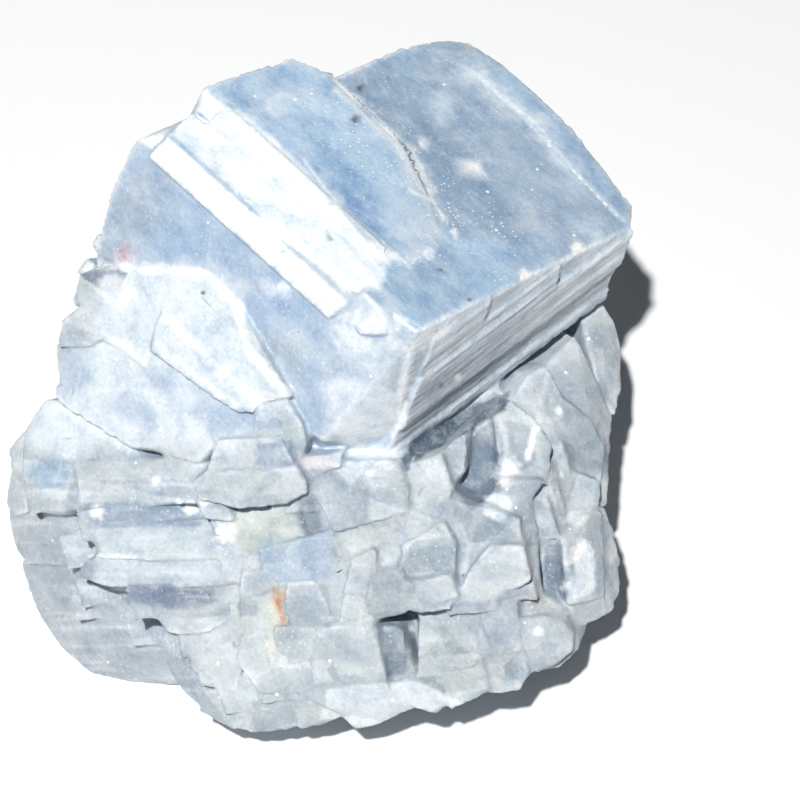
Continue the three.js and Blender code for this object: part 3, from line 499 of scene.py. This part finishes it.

# The blocks in the middle and in front, each with a tone of its own where the light goes into it; a few dark
# blocks among them are painted shadow and one white block is a painted highlight.
GREY = np.array([0.38, 0.42, 0.435])
DEEP = np.array([0.16, 0.21, 0.27])
CLEAR = np.array([0.60, 0.64, 0.65])
INKY = np.array([0.25, 0.33, 0.43])
BLUISH = np.array([0.36, 0.46, 0.58])
MILKY = np.array([0.74, 0.76, 0.75])
SHADOW_UNDER_RHOMB = np.array([0.08, 0.12, 0.17])
for paint, share, corners in (
    (CLEAR, 0.7, ((-20, -6), (-12, -2), (-8, -4), (-12, -8), (-20, -12))),
    (INKY, 0.9, ((-18, -5.5), (-13.6, -5), (-12.2, -8.6), (-18, -8.2))),
    (STEEL, 0.95, ((-12.4, -8.8), (-4, -7.8), (-3.8, -15), (-8.8, -17.4), (-10.6, -17))),
    (CLEAR, 0.7, ((1.5, -9.4), (5, -6.9), (6.5, -10.6), (4.5, -13.8), (1.5, -16.2), (1, -12.5))),
    # Painted shadow: this dark block lies in the shadow of the overhanging right face of the rhomb.
    (DEEP, 1.0, (
        (8.2, -5.1), (12, -2.2), (13, -6.2), (12.6, -11.2), (8.9, -13.9), (6.6, -11.4), (8.1, -8.2))),
    (WHITE, 0.8, ((10.5, -12), (12, -11.6), (15.1, -12.5), (12.9, -15.1), (10.4, -14.2))),
    (STEEL, 0.9, ((13, -2.5), (16.5, -3), (17, -8), (13.5, -10), (13.6, -6))),
    (STEEL, 0.6, (
        (6.2, -12), (9.1, -14.1), (8.5, -17.2), (7.9, -20.8), (5.8, -21.8), (6, -16.1), (4.4, -13.5))),
    (STEEL, 0.9, ((-0.4, -19.9), (3.2, -18.2), (5.8, -18.2), (6, -21.5), (-0.4, -21.8))),
    (STEEL, 0.9, (
        (10.4, -14.5), (13, -15.4), (14.8, -17), (12.4, -18.6), (9.5, -20.8), (8.5, -20.8), (9.1, -17))),
    (CLEAR, 0.4, ((8.9, -21.1), (14.9, -18.2), (15.8, -19.5), (15.8, -22.6), (12.9, -24.2), (9.4, -24.6))),
    (DEEP, 0.95, ((18.2, -17.9), (20.5, -17.9), (20.5, -22.8), (21.5, -25.5), (18.2, -23.4), (17.4, -21.5))),
    (STEEL, 0.9, ((13.4, -11), (17.6, -9.6), (19, -17), (16, -18.4), (14.6, -15))),
    (MILKY, 0.9, ((22.1, -9.4), (24.5, -10), (24.2, -13.2), (23, -15.8), (20.2, -15.5), (20.9, -12.9))),
    (CLEAR, 0.4, ((16.8, -28), (20.9, -27.6), (22, -29), (21.4, -31.5), (18.2, -32.4), (15.8, -32.4))),
    (STEEL, 0.9, (
        (9.4, -25.2), (15.4, -24.5), (16.1, -27.6), (15.1, -30), (12, -31.1), (10.8, -30.2), (10, -28))),
    # Painted shade: the slot is sunk in the shade of the block above it.
    (DEEP, 0.75, ((-2.8, -27.6), (1.7, -27.6), (2, -34), (-1.8, -34.4))),
    (CLEAR, 0.3, ((-12.5, -28.1), (-3, -28.1), (-1.8, -36.2), (-8.8, -37.5), (-11.2, -36.2))),
    (STEEL, 0.7, ((-14, -23.1), (-8.8, -23.1), (-8.8, -28.5), (-14, -28.5))),
    (BLUISH, 0.8, ((-17.8, -16.9), (-8.8, -16.2), (-8.1, -22.5), (-17, -22.8))),
    (GREY, 0.9, ((-3.8, -21.6), (1.8, -22), (1.8, -27.4), (-3.8, -27.4))),
    (DEEP, 0.6, ((-20.2, -25.2), (-17.6, -25), (-17.9, -27), (-20, -27))),
    (GREY, 0.6, ((-19.8, -27.4), (-18.2, -27.4), (-18.2, -30.8), (-19.8, -30.8))),
    (GREY, 0.9, ((1, -31), (7, -30), (10, -33), (9.6, -36), (2, -37), (1, -34))),
    (GREY, 0.9, ((9.6, -31), (14.6, -31), (14, -34.6), (9.6, -35))),
    (STEEL, 0.35, ((-23.5, -8), (-18, -9), (-17, -13), (-22, -14.5), (-24.5, -11.5))),
    (CLEAR, 0.9, ((-26, -32), (-12, -30), (-9, -38), (-22, -37))),
    (WHITE, 0.8, ((-9, -36), (2, -35), (8, -38), (-4, -41), (-10, -40))),
    (STEEL, 0.5, ((2.5, -25), (9.4, -25), (9.8, -29.5), (2.5, -29.5))),
    (GREY, 0.7, ((-3.6, -15.6), (-0.6, -15.4), (0.4, -18.4), (-3.4, -18.8))),
    # Painted shadow, cast by the overhanging block above and to the left.
    (DEEP, 0.6, ((-12.6, -12.4), (-10, -11.6), (-9.6, -17), (-12, -17))),
    (CLEAR, 0.6, ((-30, -27), (-24, -26), (-21, -29), (-26, -32), (-30, -30))),
    (STEEL, 0.7, ((17.6, -3), (19, 4.4), (24.4, 5), (27.4, -2), (26.8, -9), (20, -8), (18, -12))),
    (STEEL, 0.5, ((20.5, -18), (26, -17), (26.6, -24), (21.6, -26))),
    # Painted highlight: the lamp glares off this block.
    (WHITE, 0.9, (
        (21.8, -18.5), (23.2, -17.4), (24.2, -19), (24.4, -23), (23.4, -24.4), (22, -24.2), (21.9, -21))),
):
    colour = blend(colour, paint, share * blocky * block(*corners) * (0.85 + 0.25 * mottle))
# Painted shadow: the crevice under the overhang of the rhomb's right face is painted nearly black, and two
# holes are painted slate as painted shade.
shadow_under_rhomb = block((0.2, -7.4), (1.6, -4.6), (4.6, -2.6), (13.8, 1), (13.2, -1.4), (4.4, -6.4), (1, -8))
shaded_holes = patch((-36.5, 15.8, 1.8, 1.6, 0), (-11.2, -14.7, 1.6, 2.2, 0), whole_facets=True)
colour = coated(colour, (SHADOW_UNDER_RHOMB, shadow_under_rhomb), (SLATE, 0.8 * shaded_holes))

# Frost on worn edges, here and there, and along the torn rim and the broken ridge of the rhomb.
frost = sharp * np.where(blocky > 0.5, 0.45 * (0.3 + 1.5 * mottle), 0.65 + 0.6 * mottle).clip(0, 1)
for share, line, width, fray in (
    (1.0, [(-37.5, 16.9), (-31.2, 16.3), (-23.7, 15.6), (-20, 11.2), (-19.6, 6.9), (-13.8, 0.3)], 0.7, 0.7),
    (1.0, [(6.4, 9.9), (1.2, 6.2), (0.1, -2.6), (-0.6, -6.6)], 0.8, 0.8),
    (1.0, [(-4.4, 19.4), (-1, 18), (1, 17.6), (4, 18.4)], 0.9, 1.0),
    (0.8, [(-38.5, -19.6), (-33, -19.8)], 0.4, 0.3),
    (0.8, [(-29, 10), (-19.8, 1.6), (-17.4, -0.6)], 0.7, 0.6),
    (0.7, [(-30.6, 7), (-20.6, -0.8)], 0.6, 0.6),
    (0.7, [(-37, 8.6), (-32, 4.8)], 0.6, 0.6),
    (0.7, [(-43, -0.4), (-34, -5.8)], 0.7, 0.8),
    (0.75, [(-12.5, 30.6), (-6.9, 23.1), (-4.4, 20)], 0.22, 0.1),
    # The seam along the edge of the upper plate is a whitish bevel and also painted light that lifts the
    # shaded walls of the step.
    (0.75, [(-7.6, 38.8), (-3, 34.6), (1.2, 30.9), (3.6, 26)], 0.9, 0.5),
    (0.75, [(1.4, 26.1), (3.8, 25.1), (5.8, 22.4)], 0.25, 0.5),
    (0.75, [(8.6, 41.5), (12, 38.4), (18, 33.8)], 0.4, 0.8),
    (0.75, [(0, 10.6), (3.1, 8.8)], 0.2, 0.1),
    (0.75, [(-4.5, 19), (-9, 22.5), (-20, 33)], 0.25, 0.5),
):
    frost = np.maximum(frost, share * seam(line, width, fray))
frost = np.maximum(frost, 0.8 * patch((-4.4, -6.6, 4, 0.9, 0), (-35.5, 14, 2.6, 1.8, 0), fray=0.7))
blunt_corner = patch((-4.5, -2, 4.4, 6.5, 0), (-4.6, 8.6, 4, 3.4, 0), fray=0.8)
frost = np.maximum(frost, 0.9 * blunt_corner * (0.75 + 0.5 * feather))
frost = np.maximum(frost, 0.85 * patch((-5.6, -3.8, 3, 3, 0), fray=0.8))
frost = frost.clip(0, 1)

# White glints and dark specks, and where fine white dust lies under the faces of the rhomb.
GLINT = np.array([0.97, 0.97, 0.97])
SPECK = np.array([0.10, 0.12, 0.12])
glints = spots(
    (9.8, 29.1, 0.5), (3.1, 32.1, 0.4), (15.4, 23, 0.4), (22.1, 19.1, 0.5), (17.8, 19.5, 0.35),
    (15.5, 15.8, 0.4), (6.8, 20.8, 0.35), (16.8, 21.4, 0.3), (20.6, 21.6, 0.3), (-14.6, 13.8, 0.6),
    (7.2, 2.9, 0.3), (-37.9, -14, 0.55), (-26.2, -13.5, 0.55), (-21.6, -16.4, 0.8), (1.4, -28.6, 0.3),
    (20.8, -23.2, 0.4), (13.6, -8.4, 0.8), (13, -9.6, 0.7), (17.2, -28.8, 0.35),
    (22.9, -18.4, 0.6), (22.6, -19.6, 0.9), (22.9, -21.2, 0.8), (22.7, -23, 0.9), (22.2, -24, 0.6),
    (19.8, -1.4, 0.35), (-30.5, -10, 0.3), (-27.6, -12.8, 0.3), (-24.5, -12.8, 0.3), (20, -9.4, 0.3),
)
glints = np.maximum(glints, seam([(16.8, -3.8), (16, -7.1)], 0.4, 0.5))
dark_spots = spots(
    (-5, 38.9, 0.32), (-5.6, 35, 0.36), (-5.9, 33.9, 0.24), (2.5, 20.9, 0.26), (5.1, 16.1, 0.16),
    (8.6, 12.5, 0.16), (-24.6, 13.4, 0.16), (5, 1.9, 0.2), (-14.6, 18.4, 0.16), (-8.8, 20.2, 0.16),
    (3.8, 16.2, 0.14),
)
dusty = np.maximum(0.2 * left, patch(
    (-4, 31.5, 2.6, 8, 42), (4, 25.6, 2.6, 9, 42), (12, 21.4, 2, 6, 42), (1.5, 18, 5, 1.4, 0),
    (16, 14.5, 5, 2, 30), (-10, 21, 1.6, 5, 42), fray=0.8,
))
colour = coated(colour, (WHITE, 0.8 * frost), (GLINT, glints), (SPECK, 0.9 * dark_spots))

# Clefts between the blocks are painted a little darker: painted shade.
colour = blend(colour, STEEL, 0.5 * blocky * (-hollow / 0.9 - 0.15).clip(0, 1) * (1 - frost))

# Iron stains, and a brownish patch low on the right.
ORANGE = np.array([0.72, 0.42, 0.24])
YELLOW = np.array([0.72, 0.70, 0.52])
PINK = np.array([0.78, 0.62, 0.64])
RUST = np.array([0.62, 0.24, 0.12])
BROWNISH = np.array([0.30, 0.27, 0.26])
RED = np.array([0.6, 0.16, 0.12])
colour = coated(
    colour,
    (YELLOW, 0.5 * patch((-16.1, -27.2, 1, 2.6, 0), (-16.1, -31, 0.8, 1.5, 0))),
    (YELLOW, 0.3 * patch((-17.3, -16.2, 4.5, 2.4, 0))),
    (ORANGE, 0.6 * patch((-14.8, -24.6, 0.8, 1, 0))),
    (ORANGE, 0.7 * seam([(-15.6, -23.8), (-15, -26), (-14.6, -27.6)], 0.6, 0.9)),
    (RUST, 0.9 * seam([(-15.3, -25), (-14.6, -27.4)], 0.25, 0.6)),
    (PINK, 0.5 * patch((-34, 18, 1.6, 0.9, 0))),
    (PINK, 0.25 * patch((-10.6, -7.8, 3, 0.9, 0))),
    (BROWNISH, 0.4 * patch((16.2, -25.3, 1.7, 1.6, 0), fray=0.8)),
    (RED, 0.8 * seam([(-34.4, 19.8), (-34.9, 17.6)], 0.25, 0.8)),
)
colour = colour.clip(0.02, 0.97)

# Fewer faces where the stone is flat and even, more where its colour changes or a spot lies: a weight of 1
# is thinned the most.
change = np.abs(colour - eased(colour, pairs, 3)).sum(axis=1)
spotted = eased(np.maximum(glints, dark_spots), pairs, 3)
keep = np.maximum((change / 0.10).clip(0, 1), (5 * spotted).clip(0, 1))
levels = np.round(keep * 8).astype(int)
weights = [(1 - 0.85 * level / 8, np.nonzero(levels == level)[0].tolist()) for level in range(9)]
mesh = worked(
    fine, "DECIMATE", ratio=FACES_KEPT / (2 * len(fine.polygons)), vertex_group_factor=1.0,
    use_collapse_triangulate=True, weights=weights,
)
mesh.name = "calcite_mass"
crystal = object_of("calcite_mass", mesh)
crystal.vertex_groups.clear()

cells = KDTree(len(shaped))
for i, place in enumerate(shaped):
    cells.insert(place, i)
cells.balance()
kept = places(mesh)
cell_at = np.array([cells.find(place)[1] for place in kept])


def carried(name, kind, values):
    """A value for each vertex, which the finish reads by its name."""
    held = mesh.attributes.new(name, kind, "POINT")
    field = {"FLOAT": "value", "FLOAT_VECTOR": "vector", "FLOAT_COLOR": "color"}[kind]
    held.data.foreach_set(field, np.ascontiguousarray(values, dtype=np.float32).ravel())


kept_lie = np.linalg.solve(RHOMB_EDGES.T, (kept - CORNER).T).T / MM
carried("tint", "FLOAT_COLOR", np.column_stack([colour[cell_at], np.ones(len(kept))]))
carried("frost", "FLOAT", frost[cell_at])
carried("glints", "FLOAT", glints[cell_at])
# The mosaic of little blocks shows most in the middle and on the right, and fades towards the left.
mosaic = blocky * np.where(in_sight > 0.5, 0.2 + 0.8 * ((across + 24) / 8).clip(0, 1), 0.6)
carried("blocky", "FLOAT", blocky[cell_at])
carried("mosaic", "FLOAT", mosaic[cell_at])
carried("dusty", "FLOAT", dusty[cell_at])
carried("block_grain", "FLOAT_VECTOR", np.linalg.solve(FRONT_EDGES.T, (kept - CORNER).T).T / MM)
carried("grain", "FLOAT_VECTOR", kept_lie)
carried("ribbed", "FLOAT_VECTOR", np.column_stack([
    kept_lie[:, 1], kept_lie[:, 2] + FALL * kept_lie[:, 1], right[cell_at]]))

# Flat faces keep their flatness up to their edges: each vertex leans the way of its largest faces.
for face in mesh.polygons:
    face.use_smooth = True
corners = np.empty(len(mesh.polygons) * 3, dtype=np.int64)
mesh.polygons.foreach_get("vertices", corners)
corners = corners.reshape(-1, 3)
span = np.cross(kept[corners[:, 1]] - kept[corners[:, 0]], kept[corners[:, 2]] - kept[corners[:, 0]])
lean = np.zeros_like(kept)
for k in range(3):
    for axis in range(3):
        lean[:, axis] += np.bincount(corners[:, k], span[:, axis], len(kept))
lean /= np.linalg.norm(lean, axis=1)[:, None] + 1e-12
mesh.normals_split_custom_set_from_vertices([tuple(n) for n in lean])

# The finish. Calcite is a clear, glossy mineral, but this stone is cloudy all through: it is smooth where it
# broke freshly, dull where it is bruised, and light goes a little way into it and comes back pale.
calcite = bpy.data.materials.new("blue_calcite")
calcite.use_nodes = True
web = calcite.node_tree
shader = web.nodes["Principled BSDF"]


def node(kind, **settings):
    """A shader node of this kind; each setting fills the socket of its name, or else the property."""
    made = web.nodes.new("ShaderNode" + kind)
    for key, value in settings.items():
        if key in made.inputs:
            made.inputs[key].default_value = value
        else:
            setattr(made, key, value)
    return made


def graph(operation, first, second):
    """A sum, product or the like of two values; each is a number or a node's first output."""
    made = web.nodes.new("ShaderNodeMath")
    made.operation = operation
    for k, value in enumerate((first, second)):
        if isinstance(value, (int, float)):
            made.inputs[k].default_value = value
        else:
            web.links.new(value, made.inputs[k])
    return made.outputs[0]


def ramp(value, start, end, low_end=0.0, high_end=1.0):
    """The low end up to the start, the high end from the end on, and an even rise between them."""
    made = web.nodes.new("ShaderNodeMapRange")
    web.links.new(value, made.inputs["Value"])
    made.inputs["From Min"].default_value = start
    made.inputs["From Max"].default_value = end
    made.inputs["To Min"].default_value = low_end
    made.inputs["To Max"].default_value = high_end
    return made.outputs["Result"]


def painted(base, paint, share, way="MIX"):
    """One colour over or into another, as far as its share reaches."""
    made = web.nodes.new("ShaderNodeMix")
    made.data_type = "RGBA"
    made.blend_type = way
    web.links.new(base, made.inputs["A"])
    made.inputs["B"].default_value = (*paint, 1)
    web.links.new(share, made.inputs["Factor"])
    return made.outputs["Result"]


grain_at = node("Attribute", attribute_name="grain").outputs["Vector"]
tint_at = node("Attribute", attribute_name="tint").outputs["Color"]
frost_at = node("Attribute", attribute_name="frost").outputs["Fac"]


def stretched(scale):
    """Places along the cleavage edges of the rhomb, in millimetres, times a scale for each edge."""
    made = node("Mapping")
    web.links.new(grain_at, made.inputs["Vector"])
    made.inputs["Scale"].default_value = scale
    return made.outputs["Vector"]


def noisy(scale, detail, rough=0.5):
    made = node("TexNoise", Scale=1.0, Detail=detail, Roughness=rough)
    web.links.new(stretched(scale), made.inputs["Vector"])
    return made.outputs["Fac"]


def specks(size, share, radius):
    """Little round inclusions: one to a cell of this size, in this share of the cells."""
    made = node("TexVoronoi", Scale=1.0)
    web.links.new(stretched((1 / size, 1 / size, 1 / size)), made.inputs["Vector"])
    split = node("SeparateColor")
    web.links.new(made.outputs["Color"], split.inputs["Color"])
    chosen = ramp(split.outputs["Red"], share - 0.02, share + 0.02, 1, 0)
    return graph("MULTIPLY", ramp(made.outputs["Distance"], radius * 0.6, radius, 1, 0), chosen)


veil = ramp(noisy((0.10, 0.30, 0.2), 6, 0.62), 0.50, 0.72)
cloudy = noisy((0.30, 0.34, 0.34), 8, 0.68)
grit = noisy((2.2, 2.6, 2.6), 4, 0.7)
dust_zone = ramp(noisy((0.12, 0.2, 0.2), 3), 0.46, 0.60)
dusty_at = node("Attribute", attribute_name="dusty").outputs["Fac"]
dust_zone = graph("ADD", graph("MULTIPLY", dust_zone, 0.5), dusty_at)
dust = graph("MULTIPLY", specks(0.6, 0.6, 0.26), dust_zone)
blocky_at = node("Attribute", attribute_name="blocky").outputs["Fac"]
mosaic_at = node("Attribute", attribute_name="mosaic").outputs["Fac"]
block_grain = node("Attribute", attribute_name="block_grain").outputs["Vector"]


def cleaved(size, seed):
    """A value of its own for each little cleavage block, from 0 to 1."""
    moved = node("Mapping", Location=(seed, seed * 2, seed * 3), Scale=(1 / size, 1 / size, 0.7 / size))
    web.links.new(block_grain, moved.inputs["Vector"])
    cells_of = node("TexVoronoi", distance="CHEBYCHEV", Scale=1.0, Randomness=0.75)
    web.links.new(moved.outputs["Vector"], cells_of.inputs["Vector"])
    parts = node("SeparateColor")
    web.links.new(cells_of.outputs["Color"], parts.inputs["Color"])
    return parts.outputs["Red"]


large_blocks = cleaved(4.2, 3.0)
small_blocks = cleaved(1.7, 7.0)
flakes = specks(2.6, 0.25, 0.10)
dark_dots = specks(5.5, 0.10, 0.03)

# Veils and clouds, then little blocks of two sizes, some darker and some lighter, then grit and dust.
paint = painted(tint_at, (0.82, 0.88, 0.93), graph("MULTIPLY", veil, 0.22))
paint = painted(paint, (0.62, 0.72, 0.84), ramp(cloudy, 0.50, 0.32, 0, 0.75), "MULTIPLY")
paint = painted(paint, (0.34, 0.34, 0.33), ramp(cloudy, 0.53, 0.70, 0, 0.75), "SCREEN")
for tones, shade, way, start, end, most in (
    (large_blocks, (0.70, 0.75, 0.79), "MULTIPLY", 0.45, 0.0, 0.65),
    (large_blocks, (0.20, 0.20, 0.19), "SCREEN", 0.6, 1.0, 0.6),
    (small_blocks, (0.78, 0.83, 0.88), "MULTIPLY", 0.5, 0.0, 0.35),
    (small_blocks, (0.20, 0.20, 0.20), "SCREEN", 0.6, 1.0, 0.35),
):
    paint = painted(paint, shade, graph("MULTIPLY", mosaic_at, ramp(tones, start, end, 0, most)), way)
paint = painted(paint, (0.66, 0.72, 0.80), ramp(grit, 0.50, 0.28, 0, 0.6), "MULTIPLY")
paint = painted(paint, (0.40, 0.41, 0.42), ramp(grit, 0.56, 0.74, 0, 0.7), "SCREEN")
paint = painted(paint, (0.95, 0.96, 0.97), graph("MULTIPLY", dust, 0.7))
paint = painted(paint, (0.97, 0.97, 0.97), graph("MULTIPLY", flakes, 0.9))
paint = painted(paint, (0.06, 0.06, 0.06), graph("MULTIPLY", dark_dots, 0.8))

# The right face is scored along its ribs, with short dark nicks.
ribbed = node("Attribute", attribute_name="ribbed").outputs["Vector"]
ribbed_parts = node("SeparateXYZ")
web.links.new(ribbed, ribbed_parts.inputs["Vector"])
on_ribs = ribbed_parts.outputs["Z"]


def scored(scale, detail):
    """Scratches that run along the ribs of the right face."""
    made = node("Mapping")
    web.links.new(ribbed, made.inputs["Vector"])
    made.inputs["Scale"].default_value = scale
    scratches = node("TexNoise", Scale=1.0, Detail=detail, Roughness=0.6)
    web.links.new(made.outputs["Vector"], scratches.inputs["Vector"])
    return scratches.outputs["Fac"]


score = scored((0.10, 2.4, 0), 4)
nick = scored((0.45, 2.8, 0), 3)
paint = painted(paint, (0.86, 0.88, 0.90), graph("MULTIPLY", on_ribs, ramp(score, 0.54, 0.68, 0, 0.65)))
paint = painted(paint, (0.14, 0.16, 0.20), graph("MULTIPLY", on_ribs, ramp(score, 0.46, 0.32, 0, 0.55)))
paint = painted(paint, (0.07, 0.08, 0.10), graph("MULTIPLY", on_ribs, ramp(nick, 0.36, 0.30, 0, 0.75)))
web.links.new(paint, shader.inputs["Base Color"])

glint_at = node("Attribute", attribute_name="glints").outputs["Fac"]
gloss = ramp(noisy((0.4, 0.9, 0.9), 4), 0.35, 0.65, 0.46, 0.66)
gloss = graph("ADD", gloss, graph("MULTIPLY", frost_at, 0.15))
gloss = graph("ADD", gloss, graph("MULTIPLY", blocky_at, 0.12))
gloss = graph("SUBTRACT", gloss, graph("MULTIPLY", glint_at, 0.3))
web.links.new(gloss, shader.inputs["Roughness"])
bump = node("Bump", Strength=0.45, Distance=0.0002)
crumbled = graph("MULTIPLY", noisy((2.6, 2.6, 2.6), 4, 0.6), frost_at)
relief = graph("ADD", noisy((0.6, 1.2, 1.0), 7, 0.62), crumbled)
relief = graph("ADD", relief, graph("MULTIPLY", on_ribs, score))
web.links.new(relief, bump.inputs["Height"])
web.links.new(bump.outputs["Normal"], shader.inputs["Normal"])
shader.inputs["Subsurface Weight"].default_value = 0.5
shader.inputs["Subsurface Radius"].default_value = (0.85, 0.95, 1.0)
shader.inputs["Subsurface Scale"].default_value = 0.0007
shader.inputs["IOR"].default_value = 1.52
crystal.data.materials.append(calcite)

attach(crystal, "root")
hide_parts("calcite_crystal")

# The table. A plain dull white board that the stone rests on, wide enough to have no edge in sight.
table = bmesh.new()
bmesh.ops.create_grid(table, x_segments=1, y_segments=1, size=2.0)
board = bpy.data.meshes.new("table")
table.to_mesh(board)
table.free()
floor = object_of("table", board)
white = bpy.data.materials.new("white_board")
white.use_nodes = True
white.node_tree.nodes["Principled BSDF"].inputs["Base Color"].default_value = (0.93, 0.93, 0.93, 1)
white.node_tree.nodes["Principled BSDF"].inputs["Roughness"].default_value = 0.8
board.materials.append(white)
floor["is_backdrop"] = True

# The light. One small soft lamp stands above the eye, a little to the left, and a low even light comes from
# all round, so the stone's shadow lies behind it on the right.
world = bpy.data.worlds.new("studio")
world.use_nodes = True
world.node_tree.nodes["Background"].inputs["Color"].default_value = (1, 1, 1, 1)
world.node_tree.nodes["Background"].inputs["Strength"].default_value = 0.05
bpy.context.scene.world = world
LAMP_DISTANCE = 0.9
LAMP_WAY = Vector((-0.116, -0.367, 0.923))
lamp_data = bpy.data.lights.new("lamp", "AREA")
lamp_data.shape = "DISK"
lamp_data.size = 0.035
lamp_data.energy = 9.4
lamp = bpy.data.objects.new("lamp", lamp_data)
bpy.context.scene.collection.objects.link(lamp)
lamp.location = LAMP_WAY * LAMP_DISTANCE
lamp.rotation_euler = (Vector((0, 0, 0.02)) - lamp.location).to_track_quat("-Z", "Y").to_euler()

# The camera stands in front of the mass and looks down on it at 55 degrees.
lens = bpy.data.cameras.new("camera")
lens.lens = 120
lens.sensor_width = 36
camera = bpy.data.objects.new("camera", lens)
camera.location = Vector(SIGHT)
camera.rotation_euler = (math.radians(90) - SIGHT_LEAN, 0, 0)
bpy.context.scene.collection.objects.link(camera)
bpy.context.scene.camera = camera
bpy.context.scene.view_settings.view_transform = "Standard"
